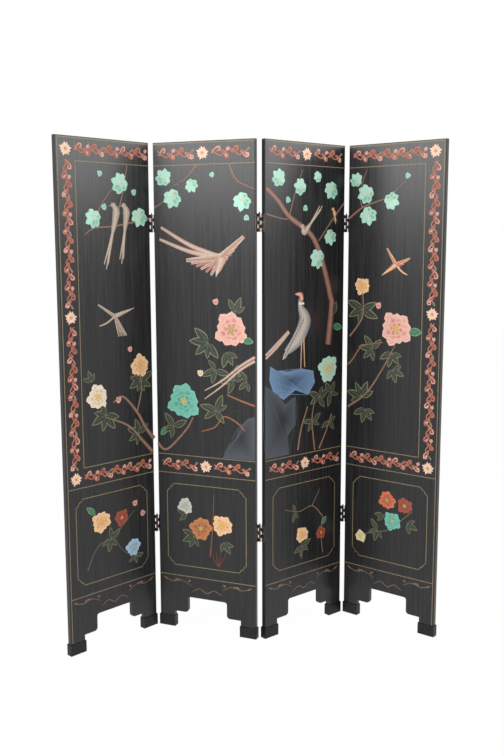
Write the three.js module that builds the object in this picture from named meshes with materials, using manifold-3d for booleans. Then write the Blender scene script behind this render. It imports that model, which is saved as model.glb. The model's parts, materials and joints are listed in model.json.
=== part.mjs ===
import * as THREE from 'three';
import { mergeVertices } from 'three/addons/utils/BufferGeometryUtils.js';
import Module from 'manifold-3d';

const wasm = await Module();
wasm.setup();

// Overall sizes of one panel, in millimetres
const PANEL_HEIGHT = 1830;
const PANEL_WIDTH = 400;
const PANEL_THICKNESS = 20;
const EDGE_BEVEL = 2;

// Stepped apron cut between the two feet
const FOOT_WIDTH = 62;
const LOBE_WIDTH = 57;
const LOBE_UNDERSIDE = 62;
const ARCH_TOP = 125;
const APRON_RADIUS = 12;

// Metal foot caps
const CAP_HEIGHT = 42;
const CAP_WALL = 2.2;
const CAP_FLOOR = 2;

// Hinges between neighbouring panels
const PANEL_GAP = 14;
const PIN_PROUD = 3;
const HINGE_HEIGHT = 64;
const HINGE_LEVELS = { top: 1542, lower: 407 };
const KNUCKLE_COUNT = 5;
const KNUCKLE_RADIUS = 4.2;
const PIN_RADIUS = 2;
const PIN_CLEARANCE = 0.3;
const KNUCKLE_CLEARANCE = 0.5;
const LEAF_THICKNESS = 2;
const LEAF_REACH = 21;
const TONGUE_REACH = 5;
const FINIAL_RADIUS = 3;
const SEAT = 0.3;

// Wood screws that hold each leaf
const SCREW_SPACING = 44;
const SCREW_LENGTH = 16;
const SHANK_RADIUS = 1.4;
const HEAD_RADIUS = 3;
const SCREW_CLEARANCE = 0.3;

// Plan angle of each panel to the front, as it stands in its zigzag
const PLAN_ANGLES = [46, -22, 40.5, -38.5];
// The side that each joint's pin lies on, -1 for the front and 1 for the back
const PIN_SIDES = [-1, 1, -1];
const ROUND_SIDES = 12;

const LACQUER = new THREE.MeshStandardMaterial({ color: 0x17151a, roughness: 0.3, metalness: 0 });
const CAP_METAL = new THREE.MeshStandardMaterial({ color: 0x202022, roughness: 0.4, metalness: 0.9 });
const BRONZE = new THREE.MeshStandardMaterial({ color: 0x4a3f36, roughness: 0.45, metalness: 0.9 });
const STEEL = new THREE.MeshStandardMaterial({ color: 0x8f8a82, roughness: 0.35, metalness: 1 });

function toSolid(geometry) {
  const bare = geometry.clone();
  bare.deleteAttribute('normal');
  bare.deleteAttribute('uv');
  const merged = mergeVertices(bare, 1e-4);
  const mesh = new wasm.Mesh({
    numProp: 3,
    vertProperties: new Float32Array(merged.attributes.position.array),
    triVerts: new Uint32Array(merged.index.array),
  });
  return new wasm.Manifold(mesh);
}

function toGeometry(solid) {
  const mesh = solid.getMesh();
  const geometry = new THREE.BufferGeometry();
  geometry.setAttribute('position', new THREE.BufferAttribute(new Float32Array(mesh.vertProperties), 3));
  geometry.setIndex(new THREE.BufferAttribute(new Uint32Array(mesh.triVerts), 1));
  geometry.computeVertexNormals();
  return geometry;
}

// A box between two corners
function block(low, high) {
  const size = high.map((value, axis) => value - low[axis]);
  const middle = high.map((value, axis) => (value + low[axis]) / 2);
  return toSolid(new THREE.BoxGeometry(...size).translate(...middle));
}

// An upright round bar
function bar(x, y, low, high, radius) {
  const shape = new THREE.CylinderGeometry(radius, radius, high - low, ROUND_SIDES);
  return toSolid(shape.rotateX(Math.PI / 2).translate(x, y, (low + high) / 2));
}

// The board's front view, with the apron's two steps up from each foot
function boardOutline() {
  const inset = EDGE_BEVEL;
  const width = PANEL_WIDTH - inset;
  const lobeStart = FOOT_WIDTH - inset;
  const archStart = FOOT_WIDTH + LOBE_WIDTH - inset;
  const base = CAP_FLOOR + SEAT + inset;
  const lobe = LOBE_UNDERSIDE + inset;
  const arch = ARCH_TOP + inset;
  const radius = APRON_RADIUS;
  const shape = new THREE.Shape();
  shape.moveTo(inset, base);
  shape.lineTo(lobeStart, base);
  shape.lineTo(lobeStart, lobe);
  shape.lineTo(archStart - radius, lobe);
  shape.quadraticCurveTo(archStart, lobe, archStart, lobe + radius);
  shape.lineTo(archStart, arch - radius);
  shape.quadraticCurveTo(archStart, arch, archStart + radius, arch);
  shape.lineTo(PANEL_WIDTH - archStart - radius, arch);
  shape.quadraticCurveTo(PANEL_WIDTH - archStart, arch, PANEL_WIDTH - archStart, arch - radius);
  shape.lineTo(PANEL_WIDTH - archStart, lobe + radius);
  shape.quadraticCurveTo(PANEL_WIDTH - archStart, lobe, PANEL_WIDTH - archStart + radius, lobe);
  shape.lineTo(PANEL_WIDTH - lobeStart, lobe);
  shape.lineTo(PANEL_WIDTH - lobeStart, base);
  shape.lineTo(width, base);
  shape.lineTo(width, PANEL_HEIGHT - inset);
  shape.lineTo(inset, PANEL_HEIGHT - inset);
  shape.closePath();
  return shape;
}

function boardSolid(hingedSides) {
  const geometry = new THREE.ExtrudeGeometry(boardOutline(), {
    depth: PANEL_THICKNESS - 2 * EDGE_BEVEL,
    bevelEnabled: true,
    bevelThickness: EDGE_BEVEL,
    bevelSize: EDGE_BEVEL,
    bevelSegments: 1,
    curveSegments: 4,
  });
  geometry.translate(0, 0, EDGE_BEVEL - PANEL_THICKNESS / 2).rotateX(Math.PI / 2);
  let board = toSolid(geometry);
  for (const side of hingedSides) {
    for (const level of Object.values(HINGE_LEVELS)) {
      for (const step of [-1, 1]) {
        const hole = screwHole(side, level + (step * SCREW_SPACING) / 2);
        board = board.subtract(hole);
      }
    }
  }
  return board;
}

// Distance out from a panel's left or right edge, as an x coordinate
function outFrom(side, distance) {
  return side < 0 ? -distance : PANEL_WIDTH + distance;
}

function screwHole(side, level) {
  const depth = SCREW_LENGTH + 1;
  const shape = new THREE.CylinderGeometry(
    SHANK_RADIUS + SCREW_CLEARANCE, SHANK_RADIUS + SCREW_CLEARANCE, depth + 1, 8);
  shape.rotateZ(Math.PI / 2);
  return toSolid(shape.translate(outFrom(side, (1 - depth) / 2), 0, level));
}

function screwGeometry(side, level) {
  const top = SEAT + LEAF_THICKNESS;
  const points = [
    new THREE.Vector2(0, top - SCREW_LENGTH),
    new THREE.Vector2(SHANK_RADIUS, top - SCREW_LENGTH),
    new THREE.Vector2(SHANK_RADIUS, SEAT / 2),
    new THREE.Vector2(HEAD_RADIUS, top - 0.6),
    new THREE.Vector2(HEAD_RADIUS, top),
    new THREE.Vector2(0, top),
  ];
  const shape = new THREE.LatheGeometry(points, 8);
  shape.rotateZ(side < 0 ? Math.PI / 2 : -Math.PI / 2);
  shape.translate(side < 0 ? 0 : PANEL_WIDTH, 0, level);
  return toGeometry(toSolid(shape));
}

function capGeometry(side) {
  const grow = SEAT + CAP_WALL;
  const start = side < 0 ? 0 : PANEL_WIDTH - FOOT_WIDTH;
  const end = start + FOOT_WIDTH;
  const half = PANEL_THICKNESS / 2;
  const outer = block([start - grow, -half - grow, 0], [end + grow, half + grow, CAP_HEIGHT]);
  const pocket = block(
    [start - SEAT, -half - SEAT, CAP_FLOOR], [end + SEAT, half + SEAT, CAP_HEIGHT + 1]);
  return toGeometry(outer.subtract(pocket));
}

// A hinge leaf: a plate on the panel's edge, and tongues that wrap the pin at every second knuckle
function leafGeometry(side, pinSide, level, firstKnuckle) {
  const pinX = outFrom(side, PANEL_GAP / 2);
  const pinY = pinSide * (PANEL_THICKNESS / 2 + PIN_PROUD);
  const plateX = [outFrom(side, SEAT), outFrom(side, SEAT + LEAF_THICKNESS)].sort((a, b) => a - b);
  const span = (from, to) => [pinY - pinSide * from, pinY - pinSide * to].sort((a, b) => a - b);
  const low = level - HINGE_HEIGHT / 2;
  const pitch = HINGE_HEIGHT / KNUCKLE_COUNT;
  const plateY = span(TONGUE_REACH, LEAF_REACH);
  let leaf = block([plateX[0], plateY[0], low], [plateX[1], plateY[1], low + HINGE_HEIGHT]);
  const tongueY = span(-KNUCKLE_RADIUS, TONGUE_REACH + 1);
  const strapY = span(-KNUCKLE_RADIUS, -KNUCKLE_RADIUS + LEAF_THICKNESS);
  const strapX = [outFrom(side, SEAT), pinX].sort((a, b) => a - b);
  for (let knuckle = firstKnuckle; knuckle < KNUCKLE_COUNT; knuckle += 2) {
    const bottom = low + knuckle * pitch + (knuckle > 0 ? KNUCKLE_CLEARANCE / 2 : 0);
    const top = low + (knuckle + 1) * pitch - (knuckle < KNUCKLE_COUNT - 1 ? KNUCKLE_CLEARANCE / 2 : 0);
    leaf = leaf.add(block([plateX[0], tongueY[0], bottom], [plateX[1], tongueY[1], top]));
    leaf = leaf.add(block([strapX[0], strapY[0], bottom], [strapX[1], strapY[1], top]));
    leaf = leaf.add(bar(pinX, pinY, bottom, top, KNUCKLE_RADIUS));
  }
  leaf = leaf.subtract(bar(pinX, pinY, low - 1, low + HINGE_HEIGHT + 1, PIN_RADIUS + PIN_CLEARANCE));
  for (const step of [-1, 1]) {
    const hole = new THREE.CylinderGeometry(
      HEAD_RADIUS + SCREW_CLEARANCE, HEAD_RADIUS + SCREW_CLEARANCE, 2 * LEAF_THICKNESS + 2, 8);
    hole.rotateZ(Math.PI / 2);
    hole.translate((plateX[0] + plateX[1]) / 2, 0, level + (step * SCREW_SPACING) / 2);
    leaf = leaf.subtract(toSolid(hole));
  }
  return toGeometry(leaf);
}

// The lift-out pin, with a round finial that rests on the top knuckle
function pinGeometry(pinSide, level) {
  const head = level + HINGE_HEIGHT / 2 + SEAT;
  const points = [
    new THREE.Vector2(0, level - HINGE_HEIGHT / 2),
    new THREE.Vector2(PIN_RADIUS, level - HINGE_HEIGHT / 2),
    new THREE.Vector2(PIN_RADIUS, head),
    new THREE.Vector2(FINIAL_RADIUS, head),
    new THREE.Vector2(FINIAL_RADIUS, head + 2),
    new THREE.Vector2(FINIAL_RADIUS / 2, head + 5),
    new THREE.Vector2(0, head + 7),
  ];
  const shape = new THREE.LatheGeometry(points, ROUND_SIDES).rotateX(Math.PI / 2);
  shape.translate(outFrom(1, PANEL_GAP / 2), pinSide * (PANEL_THICKNESS / 2 + PIN_PROUD), 0);
  return toGeometry(toSolid(shape));
}

const screen = new THREE.Group();

function addPiece(group, name, geometry, material) {
  const mesh = new THREE.Mesh(geometry, material);
  mesh.name = name;
  group.add(mesh);
}

function addLeaf(group, joint, level, side, firstKnuckle) {
  const hand = side > 0 ? 'left' : 'right';
  const name = `hinge_${joint + 1}${joint + 2}_${level}_${hand}_leaf`;
  const height = HINGE_LEVELS[level];
  addPiece(group, name, leafGeometry(side, PIN_SIDES[joint], height, firstKnuckle), BRONZE);
  for (const step of [-1, 1]) {
    const place = step < 0 ? 'lower' : 'upper';
    const screw = screwGeometry(side, height + (step * SCREW_SPACING) / 2);
    addPiece(group, `${name}_${place}_screw`, screw, STEEL);
  }
}

const pinOffset = PANEL_THICKNESS / 2 + PIN_PROUD;
let joint = new THREE.Vector2(0, 0);
PLAN_ANGLES.forEach((degrees, index) => {
  const angle = THREE.MathUtils.degToRad(degrees);
  const along = new THREE.Vector2(Math.cos(angle), Math.sin(angle));
  const back = new THREE.Vector2(-along.y, along.x);
  const group = new THREE.Group();
  const corner = joint.clone();
  if (index > 0) {
    corner.addScaledVector(along, PANEL_GAP / 2).addScaledVector(back, -PIN_SIDES[index - 1] * pinOffset);
  }
  group.position.set(corner.x, corner.y, 0);
  group.rotation.z = angle;
  const sides = [];
  if (index > 0) sides.push(-1);
  if (index < PLAN_ANGLES.length - 1) sides.push(1);
  const label = `panel_${index + 1}`;
  addPiece(group, `${label}_board`, toGeometry(boardSolid(sides)), LACQUER);
  addPiece(group, `${label}_left_foot_cap`, capGeometry(-1), CAP_METAL);
  addPiece(group, `${label}_right_foot_cap`, capGeometry(1), CAP_METAL);
  for (const level of Object.keys(HINGE_LEVELS)) {
    if (index > 0) addLeaf(group, index - 1, level, -1, 1);
    if (index < PLAN_ANGLES.length - 1) {
      addLeaf(group, index, level, 1, 0);
      const pin = pinGeometry(PIN_SIDES[index], HINGE_LEVELS[level]);
      addPiece(group, `hinge_${index + 1}${index + 2}_${level}_pin`, pin, BRONZE);
    }
  }
  screen.add(group);
  if (index < PLAN_ANGLES.length - 1) {
    joint = corner.clone().addScaledVector(along, PANEL_WIDTH + PANEL_GAP / 2);
    joint.addScaledVector(back, PIN_SIDES[index] * pinOffset);
  }
});

// The origin is at the middle of the standing screen's footprint, on the floor
screen.updateMatrixWorld(true);
const bounds = new THREE.Box3().setFromObject(screen, true);
screen.position.set(-(bounds.min.x + bounds.max.x) / 2, -(bounds.min.y + bounds.max.y) / 2, 0);

export default screen;
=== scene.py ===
import bpy
import json
import math
import random
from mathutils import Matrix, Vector


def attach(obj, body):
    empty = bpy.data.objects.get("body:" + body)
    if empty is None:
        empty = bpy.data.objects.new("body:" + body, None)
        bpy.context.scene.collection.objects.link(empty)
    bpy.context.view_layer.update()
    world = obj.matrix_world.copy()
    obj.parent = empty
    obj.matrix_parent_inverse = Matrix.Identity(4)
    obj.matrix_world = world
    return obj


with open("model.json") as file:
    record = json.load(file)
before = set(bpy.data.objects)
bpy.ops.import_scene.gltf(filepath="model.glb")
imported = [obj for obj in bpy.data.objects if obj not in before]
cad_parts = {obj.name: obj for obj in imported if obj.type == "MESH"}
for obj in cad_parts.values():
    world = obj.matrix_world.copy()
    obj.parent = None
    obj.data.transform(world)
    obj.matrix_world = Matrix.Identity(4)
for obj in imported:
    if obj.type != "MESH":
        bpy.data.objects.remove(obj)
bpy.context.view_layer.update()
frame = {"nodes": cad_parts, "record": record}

# Sizes from the frame and the part, in millimetres
MM = 0.001
WIDTH = 400
THICK = 20
GAP = 14
PIN_OFFSET = THICK / 2 + 3
PLAN_ANGLES = [46, -22, 40.5, -38.5]
HINGE_LEVELS = {"top": 1542, "lower": 407}
# Each panel is placed from one joint: its index, the side it is on and its pin's side
PLACED_FROM = [(0, 1, -1), (1, 1, 1), (2, 1, -1), (2, -1, -1)]

# Levels and margins of the thin gold lines, in millimetres
TOP_LINE = 1748
FIELD_LINE = 682
FRIEZE_LINE = 611
APRON_LINE = 208
SIDE_BAND = 78
EDGE_LINE = 7
GOLD_WIDTH = 2.6
CARTOUCHE = (38, 362, 250, 570)
CARTOUCHE_NOTCH = 30
TOP_EDGE_LINE = 1824
EDGE_LINE_FOOT = 46

# The running scrolls: half their width, and the middles of the bands they fill
SCROLL_SWING = 21
TOP_BAND = 1788
LOW_BAND = 646
LEFT_BAND = 42
RIGHT_BAND = 360

# How deep the edge of the paint reaches into the lacquer
PAINT_DEPTH = 0.1

# The middle screws: how far a hinge leaf's face stands off the panel's edge, and the head
LEAF_FACE = 2.3
HEAD_HEIGHT = 0.7
HEAD_RADIUS = 3
HEAD_SIDES = 16

# The floor in metres, and the share of white it shows to the camera
FLOOR_REACH = 12
FLOOR_GLOW = 0.98

# The photograph's camera
FOCAL_PX = 921.6
PHOTO_WIDTH_PX = 504
SENSOR = 36
CAMERA_AT = (-0.012, -3.3446, 1.4798)
CAMERA_PITCH = 8.485
CAMERA_ROLL = 0.133

SCREEN_WHITE = 255
SCREEN_GAMMA = 2.2


def rgb(red, green, blue):
    """A linear colour from 0 to 255 screen values."""
    return tuple((value / SCREEN_WHITE) ** SCREEN_GAMMA for value in (red, green, blue))


GOLD = rgb(142, 126, 92)
MINT = rgb(176, 226, 205)
MINT_DEEP = rgb(110, 180, 155)
TEAL = rgb(120, 195, 175)
TEAL_DEEP = rgb(60, 140, 125)
PINK = rgb(238, 188, 172)
PINK_DEEP = rgb(190, 105, 95)
PEACH = rgb(246, 205, 155)
PEACH_DEEP = rgb(205, 130, 80)
CREAM = rgb(240, 225, 200)
CREAM_DEEP = rgb(200, 170, 130)
RED = rgb(168, 78, 60)
RED_DEEP = rgb(96, 36, 30)
SCROLL = rgb(150, 78, 58)
SCROLL_LIGHT = rgb(190, 122, 100)
LEAF = rgb(44, 54, 46)
LEAF_EDGE = rgb(128, 128, 92)
GREEN = rgb(52, 118, 86)
GREEN_EDGE = rgb(120, 160, 120)
BARK = rgb(158, 122, 100)
BARK_DARK = rgb(92, 66, 52)
ORANGE = rgb(176, 108, 62)
FEATHER = rgb(150, 128, 112)
FEATHER_LIGHT = rgb(205, 190, 172)
FEATHER_PINK = rgb(172, 120, 106)
ROCK = rgb(44, 66, 96)
ROCK_DARK = rgb(22, 25, 33)
ROCK_LINE = rgb(74, 80, 88)
ROCK_EDGE = rgb(110, 140, 175)
YELLOW = rgb(226, 196, 96)
PALE_YELLOW = rgb(235, 225, 170)
OLIVE_HEART = rgb(170, 180, 90)
ORANGE_RED = rgb(225, 120, 80)
LIGHT_BLUE = rgb(170, 200, 225)
LIGHT_BLUE_DEEP = rgb(90, 130, 165)
GREY_WHITE = rgb(205, 205, 200)
GREY_WHITE_DEEP = rgb(140, 145, 145)
PLUMAGE = rgb(112, 118, 132)
PLUMAGE_DEEP = rgb(96, 106, 126)


# Materials
def new_material(name, roughness, metallic=0.0):
    """A material with its node tree and its surface shader."""
    material = bpy.data.materials.new(name)
    material.use_nodes = True
    shader = material.node_tree.nodes["Principled BSDF"]
    shader.inputs["Roughness"].default_value = roughness
    shader.inputs["Metallic"].default_value = metallic
    return material, material.node_tree, shader


def add_noise(tree, scale, stretch=(1, 1, 1), detail=4):
    """Noise in the object's own space, squeezed by a stretch along each axis."""
    coords = tree.nodes.new("ShaderNodeTexCoord")
    mapping = tree.nodes.new("ShaderNodeMapping")
    mapping.inputs["Scale"].default_value = stretch
    noise = tree.nodes.new("ShaderNodeTexNoise")
    noise.inputs["Scale"].default_value = scale
    noise.inputs["Detail"].default_value = detail
    tree.links.new(coords.outputs["Object"], mapping.inputs["Vector"])
    tree.links.new(mapping.outputs["Vector"], noise.inputs["Vector"])
    return noise


def add_ramp(tree, source, stops):
    """Turns a value into a colour between two stops."""
    ramp = tree.nodes.new("ShaderNodeValToRGB")
    ramp.color_ramp.elements[0].position = stops[0][0]
    ramp.color_ramp.elements[0].color = (*stops[0][1], 1)
    ramp.color_ramp.elements[1].position = stops[1][0]
    ramp.color_ramp.elements[1].color = (*stops[1][1], 1)
    tree.links.new(source, ramp.inputs["Fac"])
    return ramp


def add_bump(tree, shader, source, strength, distance):
    """Makes a value stand out from the surface as small relief."""
    bump = tree.nodes.new("ShaderNodeBump")
    bump.inputs["Strength"].default_value = strength
    bump.inputs["Distance"].default_value = distance
    tree.links.new(source, bump.inputs["Height"])
    tree.links.new(bump.outputs["Normal"], shader.inputs["Normal"])


def add_roughness(tree, shader, source, low, high):
    """Spreads a noise value over a range of roughness."""
    spread = tree.nodes.new("ShaderNodeMapRange")
    spread.inputs["From Min"].default_value = 0.3
    spread.inputs["From Max"].default_value = 0.7
    spread.inputs["To Min"].default_value = low
    spread.inputs["To Max"].default_value = high
    tree.links.new(source, spread.inputs["Value"])
    tree.links.new(spread.outputs["Result"], shader.inputs["Roughness"])


def add_mix(tree, blend, first, second):
    """Blends a second colour fully with a first."""
    mix = tree.nodes.new("ShaderNodeMixRGB")
    mix.blend_type = blend
    mix.inputs["Fac"].default_value = 1
    tree.links.new(first, mix.inputs["Color1"])
    tree.links.new(second, mix.inputs["Color2"])
    return mix


def lacquer_material():
    """Black lacquer with upright brush streaks and a few pale scuffs."""
    material, tree, shader = new_material("black_lacquer", 0.3)
    streaks = add_noise(tree, 1.0, (150, 150, 4))
    tone = add_ramp(tree, streaks.outputs["Fac"],
                    [(0.35, (0.007, 0.007, 0.008)), (0.75, (0.02, 0.02, 0.022))])
    specks = add_noise(tree, 160, detail=2)
    marks = add_ramp(tree, specks.outputs["Fac"], [(0.74, (0, 0, 0)), (0.8, (0.12, 0.12, 0.12))])
    mix = add_mix(tree, "ADD", tone.outputs["Color"], marks.outputs["Color"])
    tree.links.new(mix.outputs["Color"], shader.inputs["Base Color"])
    add_roughness(tree, shader, streaks.outputs["Fac"], 0.24, 0.32)
    add_bump(tree, shader, streaks.outputs["Fac"], 0.04, 0.0004)
    shader.inputs["Specular IOR Level"].default_value = 0.42
    return material


def metal_material(name, dark, light, roughness):
    """Worn metal between a dark and a light tone."""
    material, tree, shader = new_material(name, roughness, 0.9)
    noise = add_noise(tree, 240)
    tone = add_ramp(tree, noise.outputs["Fac"], [(0.3, dark), (0.75, light)])
    tree.links.new(tone.outputs["Color"], shader.inputs["Base Color"])
    add_roughness(tree, shader, noise.outputs["Fac"], roughness - 0.08, roughness + 0.12)
    add_bump(tree, shader, noise.outputs["Fac"], 0.15, 0.0003)
    return material


def paint_material():
    """Brush-laid lacquer paint: the colour of each stroke, uneven and a little worn."""
    material, tree, shader = new_material("relief_paint", 0.5)
    colour = tree.nodes.new("ShaderNodeAttribute")
    colour.attribute_name = "paint"
    noise = add_noise(tree, 220)
    shade = add_ramp(tree, noise.outputs["Fac"], [(0.3, (0.72, 0.7, 0.68)), (0.65, (1, 1, 1))])
    mix = add_mix(tree, "MULTIPLY", colour.outputs["Color"], shade.outputs["Color"])
    tree.links.new(mix.outputs["Color"], shader.inputs["Base Color"])
    add_roughness(tree, shader, noise.outputs["Fac"], 0.42, 0.62)
    add_bump(tree, shader, noise.outputs["Fac"], 0.2, 0.0003)
    return material


LACQUER = lacquer_material()
PAINT = paint_material()
CAP_METAL = metal_material("cap_metal", (0.012, 0.012, 0.013), (0.05, 0.05, 0.052), 0.42)
BRONZE = metal_material("hinge_bronze", (0.06, 0.042, 0.032), (0.2, 0.15, 0.12), 0.42)
STEEL = metal_material("screw_steel", (0.2, 0.19, 0.17), (0.6, 0.58, 0.54), 0.35)
BY_ENDING = {"board": LACQUER, "cap": CAP_METAL, "screw": STEEL, "leaf": BRONZE, "pin": BRONZE}

for node_name, node in frame["nodes"].items():
    ending = node_name.rsplit("_", 1)[1]
    node.data.materials.clear()
    node.data.materials.append(BY_ENDING[ending])


# Places on the panels
def panel_axes(index):
    """Where a panel's lower left corner is in plan, and its directions along and back."""
    joint, side, pin_side = PLACED_FROM[index]
    pos = frame["record"]["behaviour"]["joints"][joint]["pos_m"]
    angle = math.radians(PLAN_ANGLES[index])
    along = Vector((math.cos(angle), math.sin(angle), 0))
    back = Vector((-along.y, along.x, 0))
    reach = WIDTH + GAP / 2 if side > 0 else -GAP / 2
    corner = Vector((pos[0], pos[1], 0)) - along * reach * MM - back * pin_side * PIN_OFFSET * MM
    return corner, along, back


AXES = [panel_axes(index) for index in range(len(PLAN_ANGLES))]
BODIES = ["panel_1", "panel_2", "panel_3", "panel_4"]


class Relief:
    """Thin raised paint on the front of one panel, made of crowned patches and strokes."""

    def __init__(self, index, name):
        self.index = index
        self.name = f"panel_{index + 1}_{name}"
        self.points = []
        self.faces = []
        self.colours = []

    def vertex(self, place, lift, colour):
        """Adds a painted point that stands off the panel's face by a lift."""
        corner, along, back = AXES[self.index]
        at = corner + along * place[0] * MM - back * (THICK / 2 + lift) * MM
        at.z += place[1] * MM
        self.points.append(at)
        self.colours.append((*colour, 1))
        return len(self.points) - 1

    def patch(self, outline, rim, middle=None, lift=0.15, crown=0.4, centre=None):
        """A raised patch inside an outline, from its rim's colour to its middle's."""
        count = len(outline)
        middle = middle or rim
        if centre is None:
            centre = (sum(p[0] for p in outline) / count, sum(p[1] for p in outline) / count)
        top = self.vertex(centre, lift + crown, middle)
        edge = [self.vertex(p, lift, rim) for p in outline]
        foot = [self.vertex(p, -PAINT_DEPTH, rim) for p in outline]
        for k in range(count):
            after = (k + 1) % count
            self.faces.append((top, edge[k], edge[after]))
            self.faces.append((edge[k], foot[k], foot[after], edge[after]))

    def stroke(self, route, widths, colour, middle=None, lift=0.15, crown=0.35, steps=5):
        """A raised stroke along a smooth route, as wide as widths say from end to end."""
        path = smooth(route, steps)
        rows = []
        for k, place in enumerate(path):
            before = path[max(k - 1, 0)]
            after = path[min(k + 1, len(path) - 1)]
            slope = math.atan2(after[1] - before[1], after[0] - before[0])
            share = k / (len(path) - 1) * (len(widths) - 1)
            low = min(int(share), len(widths) - 2)
            half = (widths[low] + (widths[low + 1] - widths[low]) * (share - low)) / 2
            side = (-math.sin(slope) * half, math.cos(slope) * half)
            left = (place[0] + side[0], place[1] + side[1])
            right = (place[0] - side[0], place[1] - side[1])
            rows.append((self.vertex(left, -PAINT_DEPTH, colour), self.vertex(left, lift, colour),
                         self.vertex(place, lift + crown, middle or colour),
                         self.vertex(right, lift, colour), self.vertex(right, -PAINT_DEPTH, colour)))
        for row, after in zip(rows, rows[1:]):
            for column in range(len(row) - 1):
                self.faces.append((row[column], after[column], after[column + 1], row[column + 1]))

    def finish(self):
        """Makes the mesh and puts it on its panel."""
        mesh = bpy.data.meshes.new(self.name)
        mesh.from_pydata(self.points, [], self.faces)
        layer = mesh.attributes.new("paint", "FLOAT_COLOR", "POINT")
        for k, colour in enumerate(self.colours):
            layer.data[k].color = colour
        mesh.materials.append(PAINT)
        mesh.validate()
        piece = bpy.data.objects.new(self.name, mesh)
        bpy.context.collection.objects.link(piece)
        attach(piece, BODIES[self.index])


def smooth(route, steps):
    """Points on a smooth curve through the route's points."""
    if len(route) == 2:
        return [tuple(p) for p in route]
    out = []
    for k in range(len(route) - 1):
        a = route[max(k - 1, 0)]
        b = route[k]
        c = route[k + 1]
        d = route[min(k + 2, len(route) - 1)]
        for s in range(steps):
            t = s / steps
            out.append(tuple(0.5 * (2 * b[i] + (c[i] - a[i]) * t
                                    + (2 * a[i] - 5 * b[i] + 4 * c[i] - d[i]) * t * t
                                    + (3 * b[i] - a[i] - 3 * c[i] + d[i]) * t ** 3) for i in (0, 1)))
    out.append(tuple(route[-1]))
    return out


def blade(at, angle, length, width, late=1.0, blunt=1.0, sides=6, bend=0.0):
    """The outline of a leaf or petal that starts at a point and runs along an angle."""
    heading = math.radians(angle)
    shares = [k / sides for k in range(sides + 1)]
    half = [width / 2 * math.sin(math.pi * t ** late) ** blunt if 0 < t < 1 else 0 for t in shares]
    left = [(t * length, h + bend * length * t * t) for t, h in zip(shares, half)]
    right = [(t * length, -h + bend * length * t * t) for t, h in zip(shares, half)]
    ring = left + right[-2:0:-1]
    return [(at[0] + x * math.cos(heading) - y * math.sin(heading),
             at[1] + x * math.sin(heading) + y * math.cos(heading)) for x, y in ring]


# Flowers: each magnolia petal has a turn from the way the flower faces, and a share of its radius
MAGNOLIA_PETALS = [(-78, 0.9), (78, 0.9), (-42, 1.05), (42, 1.05), (0, 1.15), (150, 0.6), (-150, 0.6)]


def ring_of_petals(relief, at, radius, count, start, rim, middle, lift, late=1.8, blunt=0.55, fill=1.35):
    """Petals around a point, a little uneven in length."""
    width = 2 * math.pi * radius / count * 0.5 * fill
    for k in range(count):
        angle = start + 360 / count * k
        reach = radius * (0.93 + 0.12 * math.sin(k * 2.4 + start))
        outline = blade(at, angle, reach, width, late, blunt)
        spine = math.radians(angle)
        crest = (at[0] + reach * 0.55 * math.cos(spine), at[1] + reach * 0.55 * math.sin(spine))
        relief.patch(outline, rim, middle, lift, 0.25, crest)


def peony(relief, at, radius, light, deep, heart=YELLOW):
    """Three rings of petals around a heart, each smaller and higher than the last."""
    start = (at[0] * 7 + at[1] * 3) % 60
    mixed = tuple((a + b) / 2 for a, b in zip(light, deep))
    ring_of_petals(relief, at, radius, 9, start, light, mixed, 0.2, fill=1.7)
    ring_of_petals(relief, at, radius * 0.74, 8, start + 22, light, deep, 0.5, fill=1.6)
    ring_of_petals(relief, at, radius * 0.48, 6, start + 5, light, deep, 0.8, fill=1.5)
    ring_of_petals(relief, at, radius * 0.22, 6, start, heart, deep, 1.1)


def magnolia(relief, at, radius, facing=200, light=MINT, deep=MINT_DEEP):
    """An open magnolia that faces an angle."""
    for k, (turn, reach) in enumerate(MAGNOLIA_PETALS):
        outline = blade(at, facing + turn, radius * reach, radius * 0.62, 1.25, 0.75)
        relief.patch(outline, light, deep if k % 2 else light, 0.25 + 0.08 * k, 0.35)
    ring_of_petals(relief, at, radius * 0.25, 6, facing, CREAM, deep, 0.95)


def bud(relief, at, radius, facing, light, deep):
    """Three closed petals."""
    for turn in (-22, 22, 0):
        relief.patch(blade(at, facing + turn, radius * 2, radius * 0.95, 0.9, 0.8), light, deep, 0.3, 0.35)


def rosette(relief, at, radius=25):
    """The many-petalled flower that parts the scrolls."""
    ring_of_petals(relief, at, radius, 12, 8, PINK, CREAM, 0.25, late=1.0, blunt=0.8, fill=1.5)
    ring_of_petals(relief, at, radius * 0.62, 10, 20, PEACH, PINK, 0.55, late=1.2, fill=1.5)
    ring_of_petals(relief, at, radius * 0.25, 7, 0, SCROLL, PEACH, 0.8)


# Leaves, branches and scrolls
def leaf(relief, at, angle, length, width, fill=LEAF, edge=LEAF_EDGE):
    """A leaf with a thin outline and a middle vein."""
    relief.patch(blade(at, angle, length, width, 0.85, 0.8, bend=0.1), edge, edge, 0.1, 0.05)
    relief.patch(blade(at, angle, length * 0.93, width * 0.78, 0.85, 0.8, bend=0.1), fill, fill, 0.2, 0.25)
    spine = math.radians(angle)
    tip = (at[0] + length * 0.85 * math.cos(spine), at[1] + length * 0.85 * math.sin(spine))
    relief.stroke([at, tip], [1.4, 0.5], edge, lift=0.4, crown=0.1)


def spray(relief, at, size, fan, fill=LEAF, edge=LEAF_EDGE):
    """Leaves that fan out of one point."""
    for k, angle in enumerate(fan):
        length = size * (1 - 0.12 * (k % 3))
        leaf(relief, at, angle, length, length * 0.42, fill, edge)


def branch(relief, route, start_width, end_width, colour=BARK, dark=BARK_DARK):
    """A branch that swells or thins along its route."""
    relief.stroke(route, [start_width, end_width], dark, colour, 0.1, 0.5)


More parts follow.
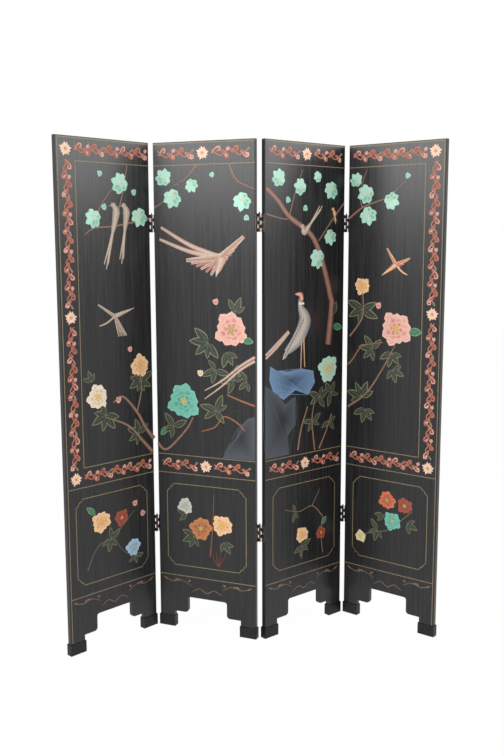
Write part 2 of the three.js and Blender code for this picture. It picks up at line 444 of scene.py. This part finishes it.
def scroll(relief, start, end, seed):
    """A running scroll: a waved vine with curled leaves on both sides."""
    chance = random.Random(seed)
    length = math.dist(start, end)
    turn = math.atan2(end[1] - start[1], end[0] - start[0])
    waves = max(2, round(length / 62))

    def place(along, across):
        return (start[0] + along * math.cos(turn) - across * math.sin(turn),
                start[1] + along * math.sin(turn) + across * math.cos(turn))

    vine = [place(length * k / (waves * 2), SCROLL_SWING * 0.55 * (-1) ** k) for k in range(waves * 2 + 1)]
    relief.stroke(vine, [4.5, 5.5, 4.5], SCROLL, SCROLL_LIGHT, 0.12, 0.4)
    for k in range(waves * 2):
        side = (-1) ** k
        root = length * (k + 0.5) / (waves * 2)
        lean = 14 + chance.uniform(-3, 3)
        curl = [place(root - lean, -side * SCROLL_SWING * 0.2),
                place(root, side * SCROLL_SWING * 0.75),
                place(root + lean * 0.9, side * SCROLL_SWING * 0.85),
                place(root + lean * 0.9, side * SCROLL_SWING * 0.3),
                place(root + lean * 0.2, side * SCROLL_SWING * 0.32)]
        relief.stroke(curl, [2, 6.5, 6, 3], SCROLL, SCROLL_LIGHT if k % 3 else PINK, 0.25, 0.4)
        heading = math.degrees(turn) + side * chance.uniform(35, 70)
        relief.patch(blade(place(root, 0), heading, SCROLL_SWING * 1.15, 11, 0.9, 0.8, bend=0.15 * side),
                     SCROLL, PINK if k % 2 else RED, 0.3, 0.4)
        relief.patch(blade(place(root, 0), heading + 180 - side * 50, SCROLL_SWING * 0.9, 9, 0.9, 0.8),
                     SCROLL_LIGHT, RED_DEEP, 0.3, 0.4)
        if k % 4 == 1:
            ring_of_petals(relief, place(root + 10, -side * SCROLL_SWING * 0.5), 8, 6, 0, PINK, RED, 0.4)
        if k % 4 == 3:
            relief.patch(blade(place(root + 8, -side * 3), heading + 90, 15, 8), GREEN_EDGE, LEAF, 0.2, 0.3)


# Birds and rocks
def perched_bird(relief, chest, tail, size, colour=FEATHER, light=FEATHER_LIGHT):
    """A bird at rest, from its breast to the tip of its tail."""
    reach = (tail[0] - chest[0], tail[1] - chest[1])
    hip = (chest[0] + reach[0] * 0.35, chest[1] + reach[1] * 0.35)
    for shift in (-0.22, 0, 0.22):
        tip = (tail[0] + size * shift, tail[1] + size * abs(shift) * 2)
        relief.stroke([chest, hip, tip], [size * 0.35, size * 0.3, size * 0.1], colour, light, 0.3, 0.4)
    neck = (chest[0] - size * 0.25, chest[1] + size * 0.5)
    relief.stroke([neck, chest, hip], [size * 0.4, size * 0.85, size * 0.35], colour, light, 0.4, 0.6)
    head = (chest[0] - size * 0.3, chest[1] + size * 0.62)
    ring_of_petals(relief, head, size * 0.28, 8, 0, light, colour, 0.7)
    relief.stroke([head, (head[0] - size * 0.5, head[1] - size * 0.05)], [size * 0.16, 0.6], light, lift=0.6)


def flying_bird(relief, body, head, wings, tails, size, colour, light):
    """A bird in flight, with the tips of its wings and tail feathers."""
    for tip in wings:
        for k in range(6):
            share = k / 5
            end = (tip[0] + (body[0] - tip[0]) * share * 0.7,
                   tip[1] + (body[1] - tip[1]) * share * 0.3 - share * size * 0.9)
            vane = light if k % 2 else colour
            relief.stroke([body, end], [size * 0.3, size * 0.14], vane, colour, 0.25 + 0.06 * k)
        relief.stroke([body, tip], [size * 0.5, size * 0.2], light, colour, 0.6)
    for tip in tails:
        middle = ((body[0] + tip[0]) / 2, (body[1] + tip[1]) / 2 - size * 0.2)
        relief.stroke([body, middle, tip], [size * 0.32, size * 0.26, size * 0.16], colour, light, 0.4)
    relief.stroke([head, body], [size * 0.35, size * 0.75], colour, light, 0.7, 0.6)
    beak = (head[0] + (head[0] - body[0]) * 0.45, head[1] + (head[1] - body[1]) * 0.45)
    relief.stroke([head, beak], [size * 0.24, 0.8], light, lift=0.8)


def rock(relief, outline, fill, edge, facets):
    """A rock with ridges drawn between points of its outline."""
    relief.patch(outline, edge, fill, 0.1, 0.5)
    for k in range(facets):
        chance = random.Random(k + int(outline[0][0]))
        a = chance.choice(outline)
        b = chance.choice(outline)
        middle = ((a[0] + b[0]) / 2 + chance.uniform(-12, 12), (a[1] + b[1]) / 2)
        relief.stroke([a, middle, b], [0.8, 1.8, 0.8], edge, lift=0.5)


# Gold lines
def gold_lines(relief, index):
    """The thin lines of one panel: its fields, friezes, outer edge and notched cartouche."""
    last = len(PLAN_ANGLES) - 1
    left = SIDE_BAND if index == 0 else 1
    right = WIDTH - SIDE_BAND - 1 if index == last else WIDTH - 1
    outer_left = EDGE_LINE if index == 0 else 1
    outer_right = WIDTH - EDGE_LINE if index == last else WIDTH - 1

    def line(*route):
        relief.stroke(route, [GOLD_WIDTH, GOLD_WIDTH], GOLD, lift=0.12, crown=0.12, steps=1)

    for level in (TOP_LINE, FIELD_LINE):
        line((left, level), (right, level))
    for level in (FRIEZE_LINE, APRON_LINE, TOP_EDGE_LINE):
        line((outer_left, level), (outer_right, level))
    if index == 0:
        line((left, FIELD_LINE), (left, TOP_LINE))
        line((outer_left, EDGE_LINE_FOOT), (outer_left, TOP_EDGE_LINE))
    if index == last:
        line((right, FIELD_LINE), (right, TOP_LINE))
        line((outer_right, EDGE_LINE_FOOT), (outer_right, TOP_EDGE_LINE))
    low_x, high_x, low_z, high_z = CARTOUCHE
    notch = CARTOUCHE_NOTCH
    frame_route = []
    for x, z, across, up, flip in [(low_x, high_z, 1, -1, 0), (high_x, high_z, -1, -1, 1),
                                   (high_x, low_z, -1, 1, 0), (low_x, low_z, 1, 1, 1)]:
        corner = [(x, z + up * notch), (x + across * notch * 0.35, z + up * notch * 0.7),
                  (x + across * notch * 0.45, z + up * notch * 0.45),
                  (x + across * notch * 0.7, z + up * notch * 0.35), (x + across * notch, z)]
        frame_route += corner[::-1] if flip else corner
    frame_route.append(frame_route[0])
    line(*frame_route)


def apron_sprays(relief):
    """A faint vine from each side of the apron, and a waved one between them."""
    for side in (1, -1):
        root = (WIDTH / 2 - side * 185, 196)
        bends = [(40, 182), (80, 190), (120, 172)]
        vine = [root] + [(root[0] + side * across, level) for across, level in bends]
        relief.stroke(vine, [2.5, 3, 1.5], BARK_DARK, BARK)
        for k in range(4):
            stalk = (root[0] + side * (20 + 28 * k), 186)
            angle = 90 + side * (60 - 40 * (k % 2) * 3)
            relief.patch(blade(stalk, angle, 18, 8), BARK_DARK, BARK, 0.2, 0.3)
    relief.stroke([(140, 150), (170, 165), (200, 150), (230, 165), (260, 150)], [2, 3, 2], BARK_DARK, BARK)


# What each panel shows, in millimetres from its lower left corner
def panel_1(art, green, wood, birds, band):
    rosette(band, (40, 1786))
    rosette(band, (42, 1218))
    rosette(band, (43, 646))
    scroll(band, (75, TOP_BAND), (390, TOP_BAND), 11)
    scroll(band, (LEFT_BAND, 1750), (LEFT_BAND, 1250), 12)
    scroll(band, (LEFT_BAND, 1185), (LEFT_BAND, 680), 13)
    scroll(band, (80, LOW_BAND), (385, LOW_BAND), 14)
    branch(wood, [(110, 1500), (151, 1524), (230, 1530), (319, 1545), (398, 1560)], 4, 9)
    branch(wood, [(230, 1530), (270, 1620), (300, 1745)], 8, 4)
    branch(wood, [(155, 1530), (180, 1600), (250, 1680)], 6, 3)
    magnolia(art, (275, 1677), 44, 160)
    magnolia(art, (155, 1562), 40, 210)
    magnolia(art, (355, 1573), 42, 250)
    bud(art, (330, 1640), 12, 100, MINT, MINT_DEEP)
    bud(art, (201, 1587), 12, 120, MINT, MINT_DEEP)
    bud(art, (190, 1715), 11, 200, MINT, MINT_DEEP)
    perched_bird(birds, (247, 1579), (198, 1380), 40)
    perched_bird(birds, (293, 1580), (267, 1398), 38)
    flying_bird(birds, (230, 1212), (292, 1230), [(157, 1258), (282, 1140)], [(162, 1181)],
                26, FEATHER, FEATHER_LIGHT)
    branch(wood, [(402, 738), (360, 790), (323, 851), (259, 917), (215, 900)], 18, 6)
    branch(wood, [(393, 690), (340, 747), (300, 790), (257, 819), (180, 850)], 16, 5)
    branch(wood, [(323, 851), (345, 930), (341, 1000)], 8, 4)
    peony(art, (341, 1023), 46, PEACH, PEACH_DEEP)
    peony(art, (146, 929), 50, CREAM, CREAM_DEEP)
    bud(art, (236, 895), 13, 80, PINK, PINK_DEEP)
    bud(art, (300, 1078), 11, 110, PINK, PINK_DEEP)
    spray(green, (345, 970), 62, [200, 160, 240, 20, 320, 280])
    spray(green, (180, 860), 70, [200, 250, 160, 300, 340, 110])
    spray(green, (330, 770), 60, [150, 200, 250, 100, 30])
    spray(green, (120, 985), 45, [100, 150, 60])
    peony(art, (146, 468), 44, PEACH, PEACH_DEEP)
    leaf(green, (120, 500), 130, 50, 24, GREEN, GREEN_EDGE)
    peony(art, (240, 464), 34, RED, RED_DEEP)
    peony(art, (291, 338), 36, LIGHT_BLUE, LIGHT_BLUE_DEEP)
    bud(art, (334, 450), 12, 60, PINK, RED)
    bud(art, (306, 495), 12, 100, PINK, RED)
    branch(wood, [(80, 300), (130, 380), (200, 400), (300, 480)], 4, 2, LEAF_EDGE, LEAF)
    branch(wood, [(200, 400), (250, 330), (330, 290)], 3, 2, LEAF_EDGE, LEAF)
    spray(green, (190, 395), 52, [250, 200, 300, 30, 90])
    spray(green, (300, 300), 40, [0, 200, 280])


def panel_2(art, green, wood, birds, band):
    rosette(band, (198, 1788))
    rosette(band, (200, 646))
    scroll(band, (20, TOP_BAND), (165, TOP_BAND), 21)
    scroll(band, (232, TOP_BAND), (380, TOP_BAND), 22)
    scroll(band, (20, LOW_BAND), (168, LOW_BAND), 23)
    scroll(band, (234, LOW_BAND), (380, LOW_BAND), 24)
    branch(wood, [(176, 1745), (130, 1700), (81, 1675)], 7, 3)
    branch(wood, [(302, 1745), (331, 1689), (398, 1658)], 8, 4)
    branch(wood, [(2, 1600), (25, 1610), (60, 1640)], 6, 3)
    magnolia(art, (48, 1699), 38, 130)
    magnolia(art, (80, 1640), 42, 250)
    magnolia(art, (151, 1681), 30, 300)
    magnolia(art, (352, 1625), 40, 260)
    bud(art, (367, 1570), 11, 270, MINT, MINT_DEEP)
    bud(art, (240, 1720), 10, 240, MINT, MINT_DEEP)
    flying_bird(birds, (270, 1420), (255, 1372), [(357, 1494), (130, 1409)], [(29, 1528), (23, 1485)],
                62, FEATHER_PINK, FEATHER_LIGHT)
    peony(art, (306, 1162), 70, PINK, PINK_DEEP, OLIVE_HEART)
    peony(art, (114, 888), 72, TEAL, TEAL_DEEP)
    bud(art, (182, 985), 13, 90, CREAM, CREAM_DEEP)
    bud(art, (250, 1250), 12, 110, PINK, PINK_DEEP)
    spray(green, (320, 1225), 60, [60, 110, 20])
    spray(green, (215, 1110), 78, [170, 215, 260, 130, 300])
    spray(green, (289, 1080), 62, [250, 290, 330])
    leaf(green, (350, 1130), 340, 45, 26, GREEN, GREEN_EDGE)
    for lift in (0, 14):
        tail = [(398, 1066 - lift), (340, 1030 - lift), (270, 975 - lift * 1.4), (198, 933 - lift * 2.2)]
        birds.stroke(tail, [11, 9, 3], FEATHER_PINK, FEATHER_LIGHT, 0.3)
    spray(green, (242, 1012), 60, [200, 250, 120, 340])
    spray(green, (316, 976), 62, [180, 240, 20, 70])
    spray(green, (366, 975), 50, [120, 220, 280])
    spray(green, (243, 862), 66, [160, 210, 20, 60, 300])
    spray(green, (69, 790), 62, [120, 200, 250, 20])
    leaf(green, (45, 785), 220, 45, 24, GREEN, GREEN_EDGE)
    branch(wood, [(288, 923), (340, 905), (398, 888)], 5, 9, ORANGE, BARK_DARK)
    branch(wood, [(185, 779), (240, 800), (276, 841), (330, 820), (360, 792)], 4, 7, ORANGE, BARK_DARK)
    branch(wood, [(2, 721), (40, 700), (120, 780), (150, 830)], 12, 5)
    rock(green, [(270, 686), (290, 730), (320, 760), (345, 815), (371, 840), (398, 850), (398, 686)],
         ROCK_DARK, ROCK_LINE, 7)
    peony(art, (114, 486), 34, GREY_WHITE, GREY_WHITE_DEEP)
    peony(art, (177, 404), 48, PEACH_DEEP, BARK_DARK)
    peony(art, (265, 426), 44, PEACH, PEACH_DEEP)
    branch(wood, [(215, 300), (225, 400), (232, 545)], 4, 2, ORANGE, BARK_DARK)
    for lean in (-30, -10, 10, 30):
        wood.stroke([(249, 262), (249 + lean * 0.6, 290), (249 + lean, 322)], [3, 1], RED, RED_DEEP)
    spray(green, (150, 370), 55, [200, 240, 290, 150])
    spray(green, (270, 360), 50, [300, 340, 250])
    spray(green, (120, 450), 45, [150, 210])


def panel_3(art, green, wood, birds, band):
    rosette(band, (201, 1788))
    rosette(band, (200, 646))
    scroll(band, (20, TOP_BAND), (168, TOP_BAND), 31)
    scroll(band, (235, TOP_BAND), (382, TOP_BAND), 32)
    scroll(band, (20, LOW_BAND), (168, LOW_BAND), 33)
    scroll(band, (234, LOW_BAND), (382, LOW_BAND), 34)
    branch(wood, [(5, 1661), (60, 1620), (116, 1564), (207, 1514), (254, 1463), (296, 1370),
                  (327, 1274), (335, 1237), (318, 1088)], 16, 30, FEATHER_PINK, BARK_DARK)
    branch(wood, [(5, 1572), (60, 1560), (109, 1554)], 6, 4)
    branch(wood, [(397, 1620), (330, 1551), (265, 1479)], 8, 5)
    branch(wood, [(116, 1564), (140, 1640), (180, 1730)], 6, 3)
    magnolia(art, (71, 1693), 38, 140)
    bud(art, (105, 1635), 12, 290, MINT, MINT_DEEP)
    magnolia(art, (177, 1670), 36, 170)
    bud(art, (195, 1608), 12, 270, MINT, MINT_DEEP)
    magnolia(art, (262, 1712), 24, 200)
    magnolia(art, (332, 1672), 40, 240)
    magnolia(art, (323, 1500), 36, 280)
    magnolia(art, (266, 1419), 44, 220)
    perched_bird(birds, (190, 1510), (275, 1592), 32)
    perched_bird(birds, (345, 1580), (352, 1540), 24, RED, PEACH)
    birds.stroke([(177, 1275), (172, 1240), (195, 1187), (160, 1120), (100, 1075)],
                 [20, 24, 62, 58, 24], PLUMAGE, FEATHER_LIGHT, 0.4, 0.8)
    birds.stroke([(145, 1286), (172, 1282), (178, 1262)], [3, 22, 20], RED, PINK, 1.2, 0.4)
    birds.stroke([(163, 1250), (190, 1250)], [8, 8], CREAM, CREAM, 1.0, 0.3)
    for k in range(12):
        feather = (200 - 8 * k, 1205 - 11 * k)
        birds.patch(blade(feather, 232, 44, 16), FEATHER_LIGHT, PLUMAGE_DEEP, 0.9 + 0.03 * k, 0.3)
    birds.stroke([(182, 1150), (178, 1080), (176, 1008)], [7, 3], FEATHER_PINK, PEACH, 0.4)
    birds.stroke([(190, 1150), (192, 1080), (196, 1012)], [7, 3], FEATHER_PINK, PEACH, 0.4)
    for shift in (0, 12):
        tail = [(115, 1150), (60, 1112 - shift), (2, 1071 - shift)]
        birds.stroke(tail, [16, 12, 9], FEATHER_PINK, FEATHER_LIGHT, 0.3)
    rock(green, [(24, 1030), (60, 1010), (110, 1003), (180, 1008), (240, 995), (250, 950),
                 (215, 905), (150, 930), (90, 900), (40, 930), (20, 980)], ROCK, ROCK_EDGE, 9)
    rock(green, [(1, 690), (1, 960), (60, 925), (100, 880), (150, 905), (150, 800), (110, 760), (120, 690)],
         ROCK_DARK, ROCK_LINE, 10)
    peony(art, (320, 995), 56, MINT, CREAM_DEEP)
    branch(wood, [(163, 700), (180, 780), (213, 861)], 10, 6)
    branch(wood, [(274, 690), (310, 750), (341, 819)], 9, 5)
    branch(wood, [(252, 688), (236, 805), (250, 880)], 8, 4)
    leaf(green, (339, 1200), 60, 55, 28)
    leaf(green, (345, 1160), 340, 50, 28, GREEN, GREEN_EDGE)
    spray(green, (272, 890), 58, [150, 200, 60, 20, 300])
    spray(green, (335, 900), 55, [120, 60, 340, 250])
    spray(green, (240, 800), 50, [170, 230, 330, 30])
    spray(green, (330, 790), 48, [200, 300, 20])
    peony(art, (187, 366), 34, PEACH, PEACH_DEEP)
    peony(art, (289, 353), 28, RED, RED_DEEP)
    branch(wood, [(296, 420), (240, 470), (170, 460), (95, 481)], 5, 2)
    branch(wood, [(240, 470), (280, 530)], 4, 2)
    branch(wood, [(300, 270), (290, 340), (296, 420)], 4, 4)
    branch(wood, [(187, 270), (187, 340)], 4, 3)
    leaf(green, (290, 385), 40, 40, 22, GREEN, GREEN_EDGE)
    spray(green, (190, 320), 48, [200, 250, 320, 20])
    spray(green, (150, 460), 40, [250, 100, 300])


def panel_4(art, green, wood, birds, band):
    rosette(band, (358, 1790))
    rosette(band, (361, 1215))
    rosette(band, (360, 646))
    scroll(band, (20, TOP_BAND), (325, TOP_BAND), 41)
    scroll(band, (RIGHT_BAND, 1755), (RIGHT_BAND, 1250), 42)
    scroll(band, (RIGHT_BAND, 1182), (RIGHT_BAND, 682), 43)
    scroll(band, (20, LOW_BAND), (325, LOW_BAND), 44)
    branch(wood, [(2, 1560), (60, 1600), (120, 1620), (177, 1640), (250, 1700)], 9, 3)
    branch(wood, [(60, 1600), (50, 1660), (80, 1740)], 6, 3)
    magnolia(art, (38, 1697), 32, 130)
    magnolia(art, (85, 1653), 42, 200)
    magnolia(art, (86, 1580), 42, 280)
    magnolia(art, (177, 1625), 38, 340)
    bud(art, (245, 1700), 11, 60, MINT, MINT_DEEP)
    flying_bird(birds, (209, 1391), (168, 1363), [(170, 1450), (267, 1415)], [(257, 1354)], 30, RED, PEACH)
    peony(art, (66, 1308), 36, PEACH, PEACH_DEEP)
    peony(art, (215, 1154), 70, PINK, PINK_DEEP)
    leaf(green, (270, 1150), 350, 52, 32, GREEN, GREEN_EDGE)
    branch(wood, [(68, 1290), (68, 1193), (13, 1115)], 5, 8)
    branch(wood, [(8, 1006), (30, 1030), (70, 1080), (160, 1100)], 8, 4, ORANGE, BARK_DARK)
    branch(wood, [(8, 840), (90, 900), (160, 1000), (210, 1090)], 10, 4)
    spray(green, (68, 1220), 76, [150, 200, 250, 330, 20])
    spray(green, (114, 1073), 62, [170, 220, 270, 120, 40])
    spray(green, (199, 1063), 58, [250, 300, 340, 200])
    spray(green, (205, 1001), 52, [280, 230, 20, 330])
    spray(green, (68, 885), 68, [160, 110, 200, 60, 20])
    spray(green, (87, 838), 58, [250, 300, 340, 200])
    bud(art, (140, 1225), 13, 100, PINK, PINK_DEEP)
    peony(art, (191, 495), 38, ORANGE_RED, RED_DEEP)
    peony(art, (267, 486), 34, RED, BARK_DARK)
    peony(art, (215, 416), 40, TEAL, TEAL_DEEP)
    peony(art, (76, 330), 26, PALE_YELLOW, CREAM_DEEP)
    branch(wood, [(76, 330), (130, 360), (200, 380), (300, 470)], 3, 4, LEAF_EDGE, LEAF)
    spray(green, (150, 370), 50, [250, 200, 300, 120])
    spray(green, (280, 420), 48, [330, 280, 20])
    spray(green, (180, 430), 44, [170, 210])


DRAWINGS = [panel_1, panel_2, panel_3, panel_4]
for panel, draw in enumerate(DRAWINGS):
    blossoms = Relief(panel, "blossoms")
    leaves = Relief(panel, "leaves_and_rocks")
    branches = Relief(panel, "branches")
    fauna = Relief(panel, "birds")
    bands = Relief(panel, "scroll_bands")
    lines = Relief(panel, "gold_lines")
    draw(blossoms, leaves, branches, fauna, bands)
    apron_sprays(bands)
    gold_lines(lines, panel)
    for relief_layer in (blossoms, leaves, branches, fauna, bands, lines):
        relief_layer.finish()


# The middle screw of each hinge leaf
def middle_screw(name, index, side, level):
    """A low domed head on one edge of a panel: side is -1 on its left edge and 1 on its right."""
    corner, along, back = AXES[index]
    count = HEAD_SIDES
    points = []
    faces = []
    rings = [(HEAD_RADIUS, LEAF_FACE - 0.4), (HEAD_RADIUS, LEAF_FACE + 0.1),
             (HEAD_RADIUS * 0.7, LEAF_FACE + HEAD_HEIGHT * 0.7),
             (HEAD_RADIUS * 0.15, LEAF_FACE + HEAD_HEIGHT)]
    for ring_radius, out in rings:
        for k in range(count):
            angle = 2 * math.pi * k / count
            reach = -out if side < 0 else WIDTH + out
            at = corner + along * reach * MM + back * ring_radius * math.cos(angle) * MM
            at.z += (level + ring_radius * math.sin(angle)) * MM
            points.append(at)
    for ring in range(len(rings) - 1):
        low = ring * count
        high = low + count
        for k in range(count):
            after = (k + 1) % count
            faces.append((low + k, low + after, high + after, high + k))
    faces.append(tuple(range((len(rings) - 1) * count, len(rings) * count)))
    faces.append(tuple(reversed(range(count))))
    mesh = bpy.data.meshes.new(name)
    mesh.from_pydata(points, [], faces)
    mesh.materials.append(STEEL)
    piece = bpy.data.objects.new(name, mesh)
    bpy.context.collection.objects.link(piece)
    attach(piece, BODIES[index])


for panel in range(len(PLAN_ANGLES)):
    for level_name, level in HINGE_LEVELS.items():
        if panel > 0:
            middle_screw(f"panel_{panel + 1}_left_{level_name}_middle_screw", panel, -1, level)
        if panel < len(PLAN_ANGLES) - 1:
            middle_screw(f"panel_{panel + 1}_right_{level_name}_middle_screw", panel, 1, level)


# Floor, world, lamps and camera
def seen_directly(tree):
    """1 for camera, glossy and transmission rays, and 0 for the rays that light the object."""
    path = tree.nodes.new("ShaderNodeLightPath")
    total = path.outputs["Is Camera Ray"]
    for other in ("Is Glossy Ray", "Is Transmission Ray"):
        join = tree.nodes.new("ShaderNodeMath")
        join.operation = "MAXIMUM"
        tree.links.new(total, join.inputs[0])
        tree.links.new(path.outputs[other], join.inputs[1])
        total = join.outputs[0]
    return total


def make_floor():
    """A floor that is white to the camera and lit softly for everything else."""
    corners = [(x * FLOOR_REACH, y * FLOOR_REACH, 0) for x, y in [(-1, -1), (1, -1), (1, 1), (-1, 1)]]
    mesh = bpy.data.meshes.new("floor")
    mesh.from_pydata(corners, [], [(0, 1, 2, 3)])
    material = bpy.data.materials.new("floor")
    material.use_nodes = True
    tree = material.node_tree
    tree.nodes.clear()
    out = tree.nodes.new("ShaderNodeOutputMaterial")
    diffuse = tree.nodes.new("ShaderNodeBsdfDiffuse")
    diffuse.inputs["Color"].default_value = (0.9, 0.89, 0.87, 1)
    glow = tree.nodes.new("ShaderNodeEmission")
    share = tree.nodes.new("ShaderNodeMath")
    share.operation = "MULTIPLY"
    share.inputs[1].default_value = FLOOR_GLOW
    mix = tree.nodes.new("ShaderNodeMixShader")
    tree.links.new(seen_directly(tree), share.inputs[0])
    tree.links.new(share.outputs[0], mix.inputs["Fac"])
    tree.links.new(diffuse.outputs[0], mix.inputs[1])
    tree.links.new(glow.outputs[0], mix.inputs[2])
    tree.links.new(mix.outputs[0], out.inputs["Surface"])
    mesh.materials.append(material)
    floor = bpy.data.objects.new("floor", mesh)
    bpy.context.collection.objects.link(floor)


def make_world():
    """A white studio, a little dimmer as a light than it looks."""
    world = bpy.data.worlds.new("studio")
    bpy.context.scene.world = world
    world.use_nodes = True
    tree = world.node_tree
    background = tree.nodes["Background"]
    background.inputs["Color"].default_value = (1, 1, 1, 1)
    spread = tree.nodes.new("ShaderNodeMapRange")
    spread.inputs["To Min"].default_value = 0.6
    spread.inputs["To Max"].default_value = 1.0
    tree.links.new(seen_directly(tree), spread.inputs["Value"])
    tree.links.new(spread.outputs["Result"], background.inputs["Strength"])


def make_softbox(name, at, target, size, power):
    """A lamp panel that is turned to its target."""
    light = bpy.data.lights.new(name, "AREA")
    light.shape = "RECTANGLE"
    light.size = size[0]
    light.size_y = size[1]
    light.energy = power
    lamp = bpy.data.objects.new(name, light)
    lamp.location = at
    lamp.rotation_euler = (Vector(target) - Vector(at)).to_track_quat("-Z", "Y").to_euler()
    bpy.context.collection.objects.link(lamp)


def make_camera():
    """The photograph's camera."""
    data = bpy.data.cameras.new("camera")
    data.sensor_fit = "HORIZONTAL"
    data.sensor_width = SENSOR
    data.lens = FOCAL_PX / PHOTO_WIDTH_PX * SENSOR
    camera = bpy.data.objects.new("camera", data)
    camera.location = CAMERA_AT
    camera.rotation_euler = (math.radians(90 - CAMERA_PITCH), math.radians(CAMERA_ROLL), 0)
    bpy.context.collection.objects.link(camera)
    bpy.context.scene.camera = camera


make_floor()
make_world()
make_softbox("left_softbox", (-2.5, -1.8, 2.5), (0.1, 0, 1.6), (2.4, 1.5), 75)
make_softbox("right_softbox", (2.5, -0.6, 2.5), (-0.3, 0, 1.6), (1.8, 1.5), 45)
make_softbox("front_softbox", (0, -4.2, 2.6), (0, 0, 0.9), (2.5, 1.5), 35)
make_camera()
bpy.context.scene.view_settings.view_transform = "Standard"
